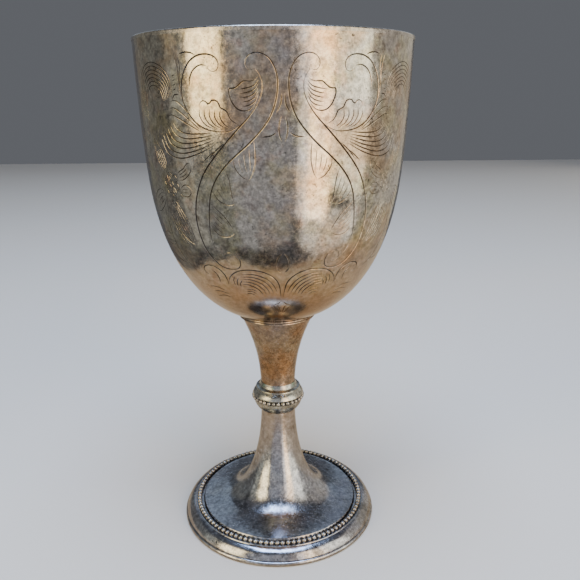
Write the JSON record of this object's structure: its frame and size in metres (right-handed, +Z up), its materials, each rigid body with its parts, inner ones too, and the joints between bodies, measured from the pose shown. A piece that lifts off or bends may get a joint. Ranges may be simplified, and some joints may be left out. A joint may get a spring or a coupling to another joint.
{
  "type": "cup trophy",
  "caption": "Tall presentation goblet: an engraved, deep bowl on a hollow flared stem with a beaded knop, on a wide dished foot with a beaded border.",
  "frame": {"origin": "centre of the foot ring's resting face", "axes": "+Z up along the cup's axis, -Y towards the plain panel between the engraved scrolls"},
  "size_m": [0.1292, 0.1292, 0.2505],
  "materials": {
    "bowl_plate": "silver-plated spun metal, polished, with mottled brown and grey tarnish",
    "lip_plate": "silver-plated wire, worn bright",
    "stem_plate": "silver plate worn to a warm brown, satin",
    "knop_plate": "silver-plated moulding, tarnished in the hollows",
    "bead_plate": "silver-plated beaded wire, bright crowns and black hollows",
    "foot_plate": "silver plate with dark blue-grey tarnish, satin",
    "raw_brass": "turned brass, dull",
    "rod_steel": "plain steel, dull"
  },
  "bodies": {
    "root": {"bowl": "bowl_plate", "lip_wire": "lip_plate", "bowl_collar": "stem_plate", "bowl_boss": "raw_brass", "upper_stem": "stem_plate", "knop_upper": "knop_plate", "knop_lower": "knop_plate", "knop_beading": "bead_plate", "stem_ferrule": "raw_brass", "foot_trumpet": "foot_plate", "foot_beading": "bead_plate", "foot_flange": "foot_plate", "foot_base_ring": "foot_plate", "tie_rod": "rod_steel", "foot_bridge": "raw_brass", "tie_washer": "rod_steel", "tie_nut": "raw_brass"}
  },
  "joints": []
}
